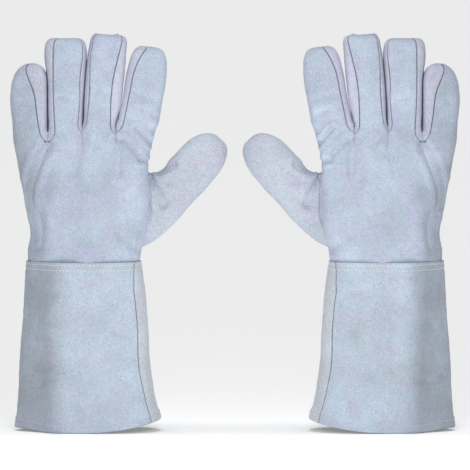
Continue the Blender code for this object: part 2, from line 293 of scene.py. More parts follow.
# The seams on the fingers' backs: s, and how far across.
SEAMS = {
    ("index", "little"): [(0, -13.5), (33, -12), (56, -10.5), (77, -4)],
    ("middle", "thumb"): [(0, 9.5), (8, 8.5), (48, 7.5), (66, 10), (86, 13.5)],
    ("middle", "little"): [(0, -13), (35, -13), (55, -14.5), (86, -14)],
    ("ring", "thumb"): [(0, 10), (25, 12.5), (50, 13), (66, 15), (83, 15)],
    ("ring", "little"): [(0, -10), (40, -11.5), (83, -11)],
    ("little", "thumb"): [(3, 9.5), (20, 6.5), (41, 4), (67, -6.5)],
}
OUTER_SEAM = 52.0  # the index's seam on the palm side, and the little finger's mirrored
PALM_SEAM = 40.0  # the seam between a finger's palm and its fourchette
THUMB_EDGES = [(-12, -18.5, 20.5), (28, -17.5, 21), (45, -19.5, 21.5), (66, -20.5, 20), (91, -18.5, 18)]
THUMB = Digit("thumb", (57.0, 5.0, 196.5), 44.0, 90.0, THUMB_EDGES, 14.5, (26.0, 2.05, 0.2), 2.5)
# The upright oval that the thumb grows from: its centre, half height and half depth.
THUMB_ROOT_CENTRE = (45.0, 7.5, 199.4)
THUMB_ROOT_HALF = (35.6, 9.2)
THUMB_ROOT_ROUND = 2.6
THUMB_START = -8.0  # s at which the thumb's leather starts, inside the hand
THUMB_FORMED = 34.0  # from here on the thumb has its own section


def neighbours(name):
    """The crotches on a finger's thumb side and little-finger side, or None."""
    thumb_side = next((c for (a, b), c in CROTCHES.items() if b == name), None)
    little_side = next((c for (a, b), c in CROTCHES.items() if a == name), None)
    return thumb_side, little_side


def seam_angle(finger, side, s):
    """The angle of a seam on the back of a finger at s."""
    (across,) = stations(SEAMS[finger.name, side], np.array(float(s)))
    low, high = stations(finger.edges, np.array(float(s)))
    return float(back_angle((across - (low + high) / 2) / ((high - low) / 2), finger.roundness))


def slab_angle(x, z):
    """The hand section's angle, on the back, at x."""
    little, thumb, _, *powers = stations(HAND, np.array(z))
    return float(back_angle((x - (thumb + little) / 2) / ((thumb - little) / 2), *powers))


def fullness(finger, s):
    """How much a finger's palm side widens towards its neighbours, to close the slits."""
    thumb_side, little_side = neighbours(finger.name)
    found = []
    for crotch in (little_side, thumb_side):
        width = crotch.gap - 0.1 if crotch else 0.0
        if crotch is CROTCHES["index", "middle"]:
            width *= 1 - smooth((s - 12.0) / 10.0)
        found.append(width)
    return found


def finger_row(finger, part, shares, s):
    """One row of a finger's panel, which grows out of the hand's flat section."""
    z = finger.z + s
    thumb_side, little_side = neighbours(finger.name)
    formed = smooth((z - KNUCKLE_CUT) / KNUCKLE_RUN)
    if part in ("back", "palm"):
        across = float(part == "palm")
        if part == "back":
            first = seam_angle(finger, "little", s) if little_side else 180 - OUTER_SEAM
            last = seam_angle(finger, "thumb", s) if thumb_side else 360 + OUTER_SEAM
            slab_first = slab_angle(little_side.x, z) if little_side else first
            slab_last = slab_angle(thumb_side.x, z) if thumb_side else last
            opened = (little_side, thumb_side)
        else:
            first = PALM_SEAM if thumb_side else OUTER_SEAM
            last = 180 - PALM_SEAM if little_side else 180 - OUTER_SEAM
            slab_first = 360 - slab_angle(thumb_side.x, z) if thumb_side else first
            slab_last = 360 - slab_angle(little_side.x, z) if little_side else last
            opened = (thumb_side, little_side)
        slab = tube_row(HAND, slab_first, slab_last, shares, z)
        ends = [crotch.open(z, across) if crotch else formed for crotch in opened]
        part_way = between(ends[0], ends[1], shares)
    else:
        if part == "thumb_wall":
            crotch, across = thumb_side, shares
            first, last = seam_angle(finger, "thumb", s) - 360, PALM_SEAM
        else:
            crotch, across = little_side, 1 - shares
            first, last = 180 - PALM_SEAM, seam_angle(finger, "little", s)
        back = 360 - slab_angle(crotch.x, z)
        depth = tube_points(HAND, np.array([back]), np.array([z]))[0][1]
        seam = np.where(across < 0.5, crotch.back, crotch.palm)
        tucked = 1 - 0.35 * (1 - smooth((z - seam + 2.0) / 2.0))
        slab = np.stack([crotch.x + 0 * shares, depth * (2 * across - 1) * tucked, z + 0 * shares], -1)
        part_way = crotch.open(z, across)
    own = finger.row(first, last, shares, s, fullness(finger, s))
    mix = np.stack([part_way, formed + 0 * shares, formed + 0 * shares], -1)
    return between(slab, own, mix)


def thumb_row(first, last, shares, s):
    """One row of a thumb panel: an upright oval at its root, then the thumb's own section."""
    own = THUMB.row(first, last, shares, s)
    half_height, half_depth = THUMB_ROOT_HALF
    angles = even_angles(half_height, half_depth, [THUMB_ROOT_ROUND], first, last, shares)
    c, sn = rim(angles, THUMB_ROOT_ROUND)
    x, y, z = THUMB_ROOT_CENTRE
    root = np.stack([x + 0.6 * (s - THUMB_START) + 0 * c, y + half_depth * sn, z - half_height * c], -1)
    return between(root, own, smooth((s - THUMB_START) / (THUMB_FORMED - THUMB_START)))


# ----------------------------------------
# Relief


def ripples(points, length, seed):
    """Smooth random relief of about this wavelength, between about -1 and 1."""
    random = np.random.default_rng(seed)
    found = np.zeros(points.shape[:-1])
    count = 12
    for _ in range(count):
        heading = random.normal(size=3)
        heading /= np.linalg.norm(heading)
        pace = 2 * math.pi / (length * random.uniform(0.7, 1.5))
        found += np.sin(points @ heading * pace + random.uniform(0, 2 * math.pi))
    return found / math.sqrt(2 * count)


def crease(points, path, width, depth):
    """A soft groove along a path of (x, z) points on the back, with a swell on each side."""
    x, z = points[..., 0], points[..., 2]
    nearest = np.full(x.shape, 1e9)
    for (x0, z0), (x1, z1) in zip(path, path[1:]):
        length = (x1 - x0) ** 2 + (z1 - z0) ** 2
        along = np.clip(((x - x0) * (x1 - x0) + (z - z0) * (z1 - z0)) / length, 0, 1)
        reach = np.hypot(x - between(x0, x1, along), z - between(z0, z1, along))
        nearest = np.minimum(nearest, reach)
    groove = -depth * np.exp(-((nearest / width) ** 2))
    swell = 0.35 * depth * np.exp(-(((nearest - 2.1 * width) / width) ** 2))
    return (groove + swell) * smooth(-points[..., 1] / 6.0)


def swelling(points, centre, width, height):
    """A soft bump round a point."""
    return height * np.exp(-(np.linalg.norm(points - np.array(centre), axis=-1) / width) ** 2)


def folded(found, points, creases):
    """The relief found so far, with these creases."""
    for path, width, depth in creases:
        found = found + crease(points, path, width, depth)
    return found


# Folds on the back of the glove: the path, its width and its depth. A ridge's depth is negative.
CREASES = [
    ([(-35, 257), (-41, 248), (-47, 236), (-53, 218), (-53, 204)], 3.6, 4.8),
    ([(-4.8, 265), (-8, 254), (-13, 232)], 3.6, 2.6),
    ([(-2, 264), (9, 255.5)], 2.4, 2.4),
    ([(26.6, 262), (27.4, 250), (28.3, 231)], 3.2, 3),
    ([(32, 262), (41, 253), (49, 244.5)], 2.4, 3.1),
    ([(44.8, 272.5), (50.5, 266), (57.5, 258)], 2, 2.5),
    ([(47.5, 243.5), (57, 240.5)], 1.6, 1.6),
    ([(-49, 198), (-43, 186), (-45, 168)], 5, 2.6),
    ([(12, 232), (18, 214), (17, 196)], 7, 1.2),
    ([(30, 176), (42, 166), (50, 163)], 4, 1.5),
    ([(-30, 162), (-10, 165), (12, 161)], 4.5, 1),
    ([(-26, 250), (-25, 225), (-31, 200), (-27, 165)], 9, -3.2),
    ([(-57, 296), (-48, 290)], 2.6, 0.8),
    ([(-24, 300), (-12, 297)], 2.6, 0.7),
    ([(5, 306), (18, 302)], 2.8, 0.7),
    ([(44, 302), (60, 297)], 3, 1),
    ([(50, 288), (62, 282)], 2.6, 0.9),
]
SEAM_ENDS = [(7, -2, 354), (27.2, -2, 353.5), (50.5, -4, 341.5)]  # they stand up at the tips
CUFF_CREASES = [
    ([(-60, 50), (-45, 46), (-28, 47.5)], 4, 1.4),
    ([(-58, 96), (-42, 100), (-30, 98)], 6, 1.2),
    ([(-54, 128), (-40, 122), (-28, 126)], 5, 1),
    ([(12, 124.5), (24, 127), (35, 125)], 4.5, 1.3),
    ([(24, 92), (32, 90), (40, 86.5)], 3.5, 1.1),
    ([(-20, 60), (0, 52), (20, 58)], 8, 1),
    ([(-20, 24), (4, 30), (30, 26)], 8, 0.9),
    ([(-22, 146), (-28, 118), (-29, 90), (-25, 50), (-27, 12)], 10.5, -4.4),
]
THUMB_CREASES = [
    ([(65, 230.5), (70, 234), (78, 239)], 2.2, 3),
    ([(55, 230), (60, 220), (67, 204)], 3.6, 3.4),
    ([(54, 231), (60, 219)], 2.2, 2.2),
    ([(64, 226), (73, 222)], 3, 1.4),
    ([(70, 205), (80, 212)], 4, 1.2),
    ([(55.3, 226), (55.9, 208), (54.6, 188)], 1, 2.6),
    ([(92, 238), (100, 230)], 4, 0.9),
]


def relief(points):
    """The hand's and fingers' folds, and the gape where the hand leaves the cuff."""
    x, y = points[..., 0], points[..., 1]
    gape = smooth((x - 2.0) / 8.0) * smooth((48.0 - x) / 4.0) * smooth(-y / 6.0)
    found = -1.3 * gape * np.exp(-(((points[..., 2] - CUFF_TOP) / 2.6) ** 2))
    found += 0.5 * ripples(points, 34.0, 3) + 0.2 * ripples(points, 13.0, 5) + 0.08 * ripples(points, 5.5, 8)
    found = folded(found, points, CREASES)
    for centre in SEAM_ENDS:
        found += swelling(points, centre, 2.6, 1.3)
    return found


def cuff_folds(points):
    """The cuff's ripples and the folds on its back."""
    found = 0.5 * ripples(points, 38.0, 3) + 0.17 * ripples(points, 13.0, 5) + 0.07 * ripples(points, 5.5, 8)
    return folded(found, points, CUFF_CREASES)


def thumb_relief(points):
    """The thumb's ripples and folds, and the web that joins it to the hand."""
    found = swelling(points, (58.0, 4.0, 228.0), 8.5, 6.4) + 0.40 * ripples(points, 30.0, 3)
    found += 0.17 * ripples(points, 12.0, 5) + 0.07 * ripples(points, 5.5, 8)
    return folded(found, points + np.array([0, -8.0, 0]), THUMB_CREASES)


def cuff_relief(points):
    """The cuff's folds, and its turned-up hem, drawn in along the hem's stitches."""
    above = points[..., 2] - hem_height(points[..., 0])
    turned = 0.9 * (1 - smooth((above - HEM_TURN - 0.6) / 1.6))
    drawn_in = 0.55 * np.exp(-(((above - HEM_ROW) / 1.1) ** 2))
    below_top = CUFF_TOP - points[..., 2]
    for row in WRIST_ROWS:
        drawn_in += 0.45 * np.exp(-(((below_top - row) / 1.0) ** 2))
    pucker = 0.16 * ripples(points, 7.0, 21) * np.exp(-((below_top / 14.0) ** 2))
    return cuff_folds(points) + turned - drawn_in + pucker


# ----------------------------------------
# Meshes

EVERYWHERE = -1e9  # a height from which an edge is sewn all the way
THIN_EDGE = 0.6  # a panel's thickness at its middle depth
THICKENING = 0.45  # and how fast it grows away from there


def rolled(distance):
    """How far a sewn edge turns in at this distance from it."""
    near = np.clip(SEAM_ROLL - distance, 0, SEAM_ROLL)
    return SEAM_ROLL - np.sqrt(SEAM_ROLL**2 - near**2)


def grid(length, seams, step=STEP):
    """Shares of a length, about a step apart, with more lines beside a seam at either end."""
    low = NEAR_SEAM if seams[0] else np.array([0.0])
    high = length - NEAR_SEAM[::-1] if seams[1] else np.array([length])
    count = max(2, round((high[0] - low[-1]) / step))
    middle = np.linspace(low[-1], high[0], count + 1)[1:-1]
    return np.concatenate([low, middle, high]) / length


def distance_to(points, path):
    """The distance from every point to a path, up to FAR."""
    found = np.full(points.shape[:-1], FAR)
    for start, step in zip(path[:-1], np.diff(path, axis=0)):
        along = np.clip((points - start) @ step / max(step @ step, 1e-9), 0, 1)
        found = np.minimum(found, np.linalg.norm(points - start - along[..., None] * step, axis=-1))
    return found


def outer_shade_mask(points):
    """1 on a glove's outer side, where painted shade darkens the leather's colour, and 0 elsewhere.
    1 on a glove's outer side, where the dye is guessed to be a little deeper, and 0 elsewhere.
    """
    x, y, z = points[..., 0], points[..., 1], points[..., 2] + 5.0 * ripples(points, 30.0, 41)
    up_hand = smooth((z - 146.0) / 22.0)
    start, width = between(-12.0, -35.0, up_hand), between(27.0, 18.0, up_hand)
    faded = 1 - 0.55 * smooth((z - 225.0) / 25.0)
    return smooth((start - x) / width) * faded * smooth((12.0 - y) / 12.0)


class Side:
    """One of the two gloves."""

    def __init__(self, word):
        self.word = word
        self.x = joints[f"{word}_wrist"]["pos_m"][0]
        self.mirror = -math.copysign(1.0, self.x)

    def world(self, points):
        """From the glove's frame in millimetres to the scene's in metres."""
        points = np.asarray(points, float) * MM
        return np.stack([self.x + self.mirror * points[..., 0], points[..., 1], points[..., 2]], -1)

    def turn(self, vectors):
        """Directions from the glove's frame to the scene's."""
        return vectors * np.array([self.mirror, 1.0, 1.0])


def make_mesh(name, points, faces, normals, material, marks=None):
    """A mesh object with a normal for each face corner, and marks as numbers on its points."""
    mesh = bpy.data.meshes.new(name)
    mesh.from_pydata(points.tolist(), [], faces.tolist())
    mesh.shade_smooth()
    mesh.normals_split_custom_set(normals.reshape(-1, 3).tolist())
    rest = mesh.attributes.new("rest", "FLOAT_VECTOR", "POINT")
    rest.data.foreach_set("vector", points.astype(np.float32).ravel())
    for label, values in (marks or {}).items():
        attribute = mesh.attributes.new(label, "FLOAT", "POINT")
        attribute.data.foreach_set("value", values.astype(np.float32).ravel())
    mesh.materials.append(material)
    obj = bpy.data.objects.new(name, mesh)
    bpy.context.scene.collection.objects.link(obj)
    return obj


def unit(vectors, least):
    """Vectors divided by their lengths, or by the least length where they are shorter."""
    return vectors / np.maximum(np.linalg.norm(vectors, axis=-1, keepdims=True), least)


def grid_normals(points):
    """Outward normals of a grid whose rows go round and whose columns go up."""
    return unit(np.cross(np.gradient(points, axis=1), np.gradient(points, axis=0)), 1e-9)


def face_normals(points, faces, least):
    """The normals of faces, from their first three corners."""
    first, second, third = (points[faces[:, k]] for k in range(3))
    return unit(np.cross(second - first, third - first), least)


class Panel:
    """A sewn leather or cotton panel: row(shares, level) gives a line of points round it.

    It is thinner near its middle depth, where a narrow tip's two sides come close together.
    """

    def __init__(self, row, shares, levels, side_seams, end_seams=(False, False), lift=relief,
                 thickness=LEATHER, seam_from=(EVERYWHERE, EVERYWHERE), open_ends=(True, True)):
        beyond = 0.6  # an extra row past an open end gives the end row its neighbour's normals
        before = [levels[0] - beyond] if open_ends[0] else []
        after = [levels[-1] + beyond] if open_ends[1] else []
        every = np.concatenate([before, levels, after])
        points = np.array([row(shares, level) for level in every])
        normals = grid_normals(points)
        to_seam = np.full(points.shape[:2], FAR)
        for sewn, start, edge in zip(side_seams, seam_from, (0, -1)):
            if sewn:
                first = max(np.searchsorted(every, start) - 1, 0)
                to_seam = np.minimum(to_seam, distance_to(points, points[first:, edge]))
        climb = np.linalg.norm(np.diff(points, axis=0), axis=-1)
        climb = np.concatenate([np.zeros((1, len(shares))), np.cumsum(climb, axis=0)], axis=0)
        for sewn, distance in zip(end_seams, (climb, climb[-1:] - climb)):
            if sewn:
                to_seam = np.minimum(to_seam, distance)
        inward = rolled(to_seam)
        outer = points + normals * (lift(points) - inward)[..., None]
        keep = slice(len(before), len(every) - len(after))
        self.normals = grid_normals(outer)[keep]
        self.outer = outer[keep]
        base_normals = normals[keep]
        from_middle = np.abs(points[keep][..., 1:2] - np.mean(points[keep][..., 1:2]))
        thick = np.minimum(thickness, THIN_EDGE + THICKENING * from_middle)
        self.inner = points[keep] - base_normals * (thick + SEAM_ROLL * 0.3)
        self.inner_normals = -base_normals
        self.to_seam = to_seam[keep]

    def build(self, side, name, material):
        """The closed mesh object on one of the gloves."""
        rows, columns = self.outer.shape[:2]
        half = rows * columns
        index = np.arange(half).reshape(rows, columns)
        a, b, c, d = index[:-1, :-1], index[:-1, 1:], index[1:, 1:], index[1:, :-1]
        outside = np.stack([a, b, c, d], -1).reshape(-1, 4)
        inside = outside[:, ::-1] + half
        edge = np.concatenate([index[0], index[1:, -1], index[-1, -2::-1], index[-2::-1, 0]])
        rim_faces = np.stack([edge[:-1] + half, edge[1:] + half, edge[1:], edge[:-1]], -1)
        faces = np.concatenate([outside, inside, rim_faces])
        points = side.world(np.concatenate([self.outer.reshape(-1, 3), self.inner.reshape(-1, 3)]))
        normals = side.turn(np.concatenate([self.normals.reshape(-1, 3), self.inner_normals.reshape(-1, 3)]))
        if side.mirror < 0:
            faces = faces[:, ::-1]
        corner = normals[faces]
        rim_start = len(outside) * 2
        corner[rim_start:] = face_normals(points, faces[rim_start:], 1e-12)[:, None, :]
        # The "outer" mark is where painted shade darkens the glove's outer side.
        # The "seam" mark is the distance from a sewn edge, over which painted shade darkens the leather.
        marks = {"seam": self.to_seam, "outer": outer_shade_mask(self.outer)}
        marks = {label: np.tile(values.reshape(-1), 2) for label, values in marks.items()}
        return make_mesh(f"{side.word}_{name}", points, faces, corner, material, marks)


# ----------------------------------------
# Materials


def add(tree, kind, **settings):
    """A new shader node."""
    node = tree.nodes.new(kind)
    for key, value in settings.items():
        setattr(node, key, value)
    return node


def set_inputs(node, values):
    """Sets a node's inputs by name."""
    for label, value in values.items():
        node.inputs[label].default_value = value


def new_material(name):
    """A material, its tree and shader, and the point on the piece at rest, for its textures."""
    material = bpy.data.materials.new(name)
    material.use_nodes = True
    tree = material.node_tree
    rest = add(tree, "ShaderNodeAttribute", attribute_name="rest").outputs["Vector"]
    return material, tree, tree.nodes["Principled BSDF"], rest


def noise_of(tree, coordinate, scale, detail, roughness=0.55):
    """Noise from 0 to 1; a larger scale is finer."""
    node = add(tree, "ShaderNodeTexNoise")
    tree.links.new(coordinate, node.inputs["Vector"])
    set_inputs(node, {"Scale": scale, "Detail": detail, "Roughness": roughness})
    return node.outputs["Fac"]


def ramp_of(tree, value, stops):
    """A colour that follows a value through (position, colour) stops."""
    node = add(tree, "ShaderNodeValToRGB")
    tree.links.new(value, node.inputs["Fac"])
    ramp = node.color_ramp
    while len(ramp.elements) < len(stops):
        ramp.elements.new(0.5)
    for element, (position, colour) in zip(ramp.elements, stops):
        element.position = position
        element.color = (*colour, 1.0)
    return node.outputs["Color"]


def mix_of(tree, factor, first, second, blend_type="MIX"):
    """Two colours mixed; each may also be a socket, and so may the factor."""
    node = add(tree, "ShaderNodeMix", data_type="RGBA", blend_type=blend_type)
    for socket, value in ((node.inputs[0], factor), (node.inputs[6], first), (node.inputs[7], second)):
        if isinstance(value, (int, float)):
            socket.default_value = value
        elif isinstance(value, tuple):
            socket.default_value = (*value, 1.0)
        else:
            tree.links.new(value, socket)
    return node.outputs[2]


def times(tree, first, second):
    """Two colours multiplied."""
    return mix_of(tree, 1.0, first, second, "MULTIPLY")


def bump_of(tree, height, strength, distance, normal=None):
    """A normal that follows a height; the distance is in metres."""
    node = add(tree, "ShaderNodeBump")
    set_inputs(node, {"Strength": strength, "Distance": distance})
    tree.links.new(height, node.inputs["Height"])
    if normal:
        tree.links.new(normal, node.inputs["Normal"])
    return node.outputs["Normal"]


def linear(srgb):
    """A screen colour from 0 to 255 as the shader's linear colour."""
    return tuple(((v / 255 + 0.055) / 1.055) ** 2.4 for v in srgb)


def suede(name, pale, deep, lilac):
    """Split leather: a mottled dye, fine nap with darker pores, and painted shade that darkens it beside its
    seams and on the glove's outer side.
    """
    material, tree, shader, rest = new_material(name)
    broad = noise_of(tree, rest, 24.0, 2.0)
    patches = noise_of(tree, rest, 62.0, 3.0)
    cloud = noise_of(tree, rest, 230.0, 4.0, 0.6)
    nap = noise_of(tree, rest, 820.0, 5.0, 0.8)
    colour = ramp_of(tree, broad, [(0.30, deep), (0.62, pale)])
    tint = ramp_of(tree, patches, [(0.46, (0, 0, 0)), (0.70, (1, 1, 1))])
    colour = mix_of(tree, tint, colour, lilac)
    blotch = ramp_of(tree, cloud, [(0.34, (0.95, 0.952, 0.955)), (0.66, (1.03, 1.03, 1.028))])
    pore_stops = [(0.36, (0.72, 0.735, 0.75)), (0.49, (0.96, 0.96, 0.965)), (0.64, (1.16, 1.155, 1.15))]
    pores = ramp_of(tree, nap, pore_stops)
    seam = add(tree, "ShaderNodeAttribute", attribute_name="seam").outputs["Fac"]
    # Painted shade: the leather's colour is darkened to about a quarter right at a seam, fading out 0.85 mm
    # away.
    painted_seam_shade = ramp_of(tree, seam, [(0.0, (0.26, 0.28, 0.32)), (0.85, (1.0, 1.0, 1.0))])
    outer = add(tree, "ShaderNodeAttribute", attribute_name="outer").outputs["Fac"]
    # Painted shade: the leather's colour is darkened to about 0.8 on the glove's outer side.
    painted_outer_shade = ramp_of(tree, outer, [(0.0, (1.0, 1.0, 1.0)), (1.0, (0.80, 0.79, 0.78))])
    for layer in (blotch, pores, painted_seam_shade, painted_outer_shade):
        colour = times(tree, colour, layer)
    tree.links.new(colour, shader.inputs["Base Color"])
    dull = ramp_of(tree, cloud, [(0.3, (0.86, 0.86, 0.86)), (0.7, (0.98, 0.98, 0.98))])
    tree.links.new(dull, shader.inputs["Roughness"])
    set_inputs(shader, {"Sheen Weight": 0.35, "Sheen Roughness": 0.55,
                        "Sheen Tint": (0.86, 0.90, 1.0, 1.0), "Specular IOR Level": 0.2})
    coarse = bump_of(tree, cloud, 0.55, 0.0006)
    tree.links.new(bump_of(tree, nap, 0.6, 0.00025, coarse), shader.inputs["Normal"])
    return material


def thread(name, colour):
    """Twisted cotton thread."""
    material, tree, shader, rest = new_material(name)
    strands = noise_of(tree, rest, 2600.0, 2.0)
    twist = ramp_of(tree, strands, [(0.3, tuple(0.78 * v for v in colour)), (0.7, colour)])
    tree.links.new(twist, shader.inputs["Base Color"])
    set_inputs(shader, {"Roughness": 0.8, "Sheen Weight": 0.3})
    return material


def cotton(name, colour):
    """Plain-woven lining cloth with a light nap."""
    material, tree, shader, rest = new_material(name)
    weave = []
    for direction in ("X", "Z"):
        wave = add(tree, "ShaderNodeTexWave", bands_direction=direction)
        tree.links.new(rest, wave.inputs["Vector"])
        set_inputs(wave, {"Scale": 260.0, "Distortion": 1.2})
        weave.append(wave.outputs["Fac"])
    both = add(tree, "ShaderNodeMath", operation="MULTIPLY")
    tree.links.new(weave[0], both.inputs[0])
    tree.links.new(weave[1], both.inputs[1])
    fluff = noise_of(tree, rest, 420.0, 4.0)
    base = ramp_of(tree, fluff, [(0.3, tuple(0.82 * v for v in colour)), (0.7, colour)])
    gaps = ramp_of(tree, both.outputs[0], [(0.0, (0.86, 0.86, 0.86)), (0.5, (1.0, 1.0, 1.0))])
    tree.links.new(times(tree, base, gaps), shader.inputs["Base Color"])
    set_inputs(shader, {"Roughness": 0.95, "Sheen Weight": 0.3})
    tree.links.new(bump_of(tree, both.outputs[0], 0.5, 0.0003), shader.inputs["Normal"])
    return material


# Each leather's name and its pale, deep and lilac dye, in sRGB.
DYES = {
    "leather": ("split_leather", (194, 208, 224), (176, 188, 201), (188, 191, 215)),
    "cuff": ("split_leather_cuff", (194, 209, 224), (178, 190, 201), (190, 194, 213)),
    "strip": ("split_leather_cuff_palm", (206, 214, 221), (190, 197, 203), (201, 201, 210)),
    "fourchette": ("split_leather_fourchette", (203, 208, 223), (188, 192, 207), (201, 199, 221)),
    "thumb": ("split_leather_thumb", (196, 205, 216), (180, 188, 199), (194, 194, 212)),
}
MATERIALS = {key: suede(name, *map(linear, dyes)) for key, (name, *dyes) in DYES.items()}
MATERIALS["thread"] = thread("white_thread", linear((232, 234, 238)))
MATERIALS["grey_thread"] = thread("grey_thread", linear((206, 216, 226)))
MATERIALS["cotton"] = cotton("brushed_cotton", linear((226, 222, 212)))


# ----------------------------------------
# The gloves


def point_at(side, local):
    """A point of a glove's frame in the scene."""
    return tuple(side.world(np.array(local, float)))


BEND_START = {"index": 3.0, "middle": 2.0, "ring": 1.0, "little": 4.0}  # s
# A finger's panels and the CAD nodes that they replace; the walls are its fourchettes.
FINGER_NODES = {
    "back": "back",
    "palm": "palm",
    "thumb_wall": "fourchette_thumb_side",
    "little_wall": "fourchette_little_side",
}
FORKS = {"index": "index_middle", "middle": "middle_ring", "ring": "ring_little"}


def blend_on(side, piece, bodies, start, end):
    """Bakes a piece's transform into its mesh; nothing bends it between the two points."""
    point_at(side, start)
    point_at(side, end)
    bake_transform(piece)


def two_pieces(side, name, digit, row, shares, low_levels, cut, lift, material, seam_from):
    """A digit's panel in two pieces, cut between its two joints: the base and the end."""
    low = Panel(row, shares, low_levels, (True, True), lift=lift, seam_from=seam_from)
    high = Panel(row, shares, digit.levels(cut), (True, True), (False, True), lift=lift,
                 seam_from=seam_from, open_ends=(True, False))
    return low.build(side, f"{name}_base", material), high.build(side, f"{name}_end", material)


def finger_levels(finger, lowest, cut):
    """Grid levels from the hand to the cut, closer together round the crotches."""
    crotches = [c for c in neighbours(finger.name) if c]
    dense_from = min(c.back for c in crotches) - finger.z - 1.5
    dense_to = max(c.web for c in crotches) - finger.z + 6.0
    below = np.linspace(lowest, dense_from, max(2, round((dense_from - lowest) / STEP) + 1))
    dense = np.linspace(dense_from, dense_to, round((dense_to - dense_from) / CROTCH_STEP) + 1)
    above = np.linspace(dense_to, cut, max(2, round((cut - dense_to) / STEP) + 1))
    return np.concatenate([below[:-1], dense, above[1:]])


def seam_starts(finger, part):
    """The s from which a panel's two edges are sewn: above a crotch, or all the way."""
    thumb_side, little_side = neighbours(finger.name)
    if part == "back":
        heights = [crotch and crotch.back for crotch in (little_side, thumb_side)]
    elif part == "palm":
        heights = [crotch and crotch.palm for crotch in (thumb_side, little_side)]
    elif part == "thumb_wall":
        heights = [thumb_side.back, thumb_side.palm]
    else:
        heights = [little_side.palm, little_side.back]
    return [EVERYWHERE if height is None else height - finger.z for height in heights]


def finger_panels(side, finger):
    """Back, palm and walls of one finger, each cut between its two joints."""
    middle = MIDDLE_JOINT[finger.name]
    cut = middle - 14.0
    crotches = dict(zip(("thumb_wall", "little_wall"), neighbours(finger.name)))
    for part, node in FINGER_NODES.items():
        wall = part in crotches
        crotch = crotches.get(part)
        if wall and not crotch:
            continue

        def row(shares, level):
            return finger_row(finger, part, shares, level)

        def lift(points):
            if not wall:
                return relief(points)
            return 0.5 * relief(points) * smooth((points[..., 2] - crotch.web - 2.0) / 8.0)

        half_way = row(np.linspace(0, 1, 60), 0.5 * middle)
        shares = grid(np.linalg.norm(np.diff(half_way, axis=0), axis=-1).sum(), (True, True))
        low_levels = finger_levels(finger, KNUCKLE_CUT - finger.z, cut)
        material = MATERIALS["fourchette" if wall else "leather"]
        low, high = two_pieces(side, f"{finger.name}_{part}", finger, row, shares, low_levels, cut,
                               lift, material, seam_starts(finger, part))
        blend_on(side, low, ("hand", finger.name), finger.place(0.0, HINGE_DEPTH, BEND_START[finger.name]),
                 finger.place(0.0, HINGE_DEPTH, middle - 16.0))
        blend_on(side, high, (finger.name, f"{finger.name}_tip"),
                 finger.place(0.0, HINGE_DEPTH, middle - 12.0),
                 finger.place(0.0, HINGE_DEPTH, middle + 14.0))
        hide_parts(f"{side.word}_{finger.name}_{node}")
        if part == "back":
            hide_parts(f"{side.word}_{finger.name}_tip")
        if part == "little_wall":
            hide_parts(f"{side.word}_fork_{FORKS[finger.name]}")


def palm_edge(z):
    """The angle at which the palm's panel starts: past the thumb's root, and by the index."""
    low = between(-5.5, 32.0, smooth((z - 176.0) / 14.0))
    return float(between(low, OUTER_SEAM, smooth((z - 236.0) / 16.0)))


def back_edge(z):
    """The angle at which the back's panel ends, in front of the thumb's root or by the index."""
    closed = smooth((z - THUMB_ROOT[0]) / (THUMB_ROOT[1] - THUMB_ROOT[0]))
    return float(between(354.5, 360 + palm_edge(z), closed))


def little_edge(z):
    """The angle of the seam between palm and back on the little finger's side."""
    return float(between(LITTLE_SEAM, 180 - OUTER_SEAM, smooth((z - 215.0) / 35.0)))


def hand_panels(side):
    """The hand's back and palm."""
    levels = np.linspace(HAND_BOTTOM, KNUCKLE_CUT, round((KNUCKLE_CUT - HAND_BOTTOM) / STEP) + 1)
    ends = {
        "hand_back": (little_edge, back_edge),
        "hand_palm": (palm_edge, little_edge),
    }
    for name, (first, last) in ends.items():
        def row(shares, z):
            return tube_row(HAND, first(z), last(z), shares, z)

        panel = Panel(row, grid(CUFF_HAND_WIDTH, (True, True)), levels, (True, True))
        piece = panel.build(side, name, MATERIALS["leather"])
        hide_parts(f"{side.word}_{name}")
        blend_on(side, piece, ("cuff", "hand"), *WRIST_BEND)


def thumb_panels(side):
    """The thumb's back and palm, each cut between its two joints."""
    middle = math.dist(hinge("thumb_tip"), THUMB.place(0.0, HINGE_DEPTH, 0.0))
    cut = middle - 12.5
    for part, ends in {"back": (180.0, 360.0), "palm": (0.0, 180.0)}.items():
        def row(shares, level):
            return thumb_row(ends[0], ends[1], shares, level)

        shares = grid(58.0, (True, True))
        low_levels = np.linspace(THUMB_START, cut, round((cut - THUMB_START) / STEP) + 1)
        low, high = two_pieces(side, f"thumb_{part}", THUMB, row, shares, low_levels, cut,
                               thumb_relief, MATERIALS["thumb"], (EVERYWHERE, EVERYWHERE))
        blend_on(side, low, ("hand", "thumb"), (47.0, 5.0, THUMB.z), (68.0, 5.0, THUMB.z))
        blend_on(side, high, ("thumb", "thumb_tip"), THUMB.place(0.0, HINGE_DEPTH, middle - 11.0),
                 THUMB.place(0.0, HINGE_DEPTH, middle + 13.0))
        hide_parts(f"{side.word}_thumb_{part}")
        if part == "back":
            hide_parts(f"{side.word}_thumb_tip")


# The cuff's seam near its thumb edge: height, and share of the half width.
CUFF_SEAM = [
    (0, 0.885),
    (12, 0.87),
    (54, 0.83),
    (90, 0.835),
    (126, 0.82),
    (151, 0.90),
    (153, 0.91),
]


def cuff_seam(z):
    """The angle of the cuff's seam near its thumb edge."""
    heights, shares = zip(*CUFF_SEAM)
    return float(back_angle(np.interp(z, heights, shares), CUFF[0][4]))


def cuff_row(first, last, shares, level, above_hem=0.0, top=CUFF_TOP, inset=0.0):
    """A row of the cuff or its lining; level is 0 at this height above the hem and 1 at the top."""
    z = between(0.0, top, level) + 0 * shares
    for _ in range(3):
        mean = float(z.mean())
        points = tube_row(CUFF, first(mean), last(mean), shares, z, inset)
        z = between(hem_height(points[..., 0]) + above_hem, top, level)
    points[..., 2] = z
    return points


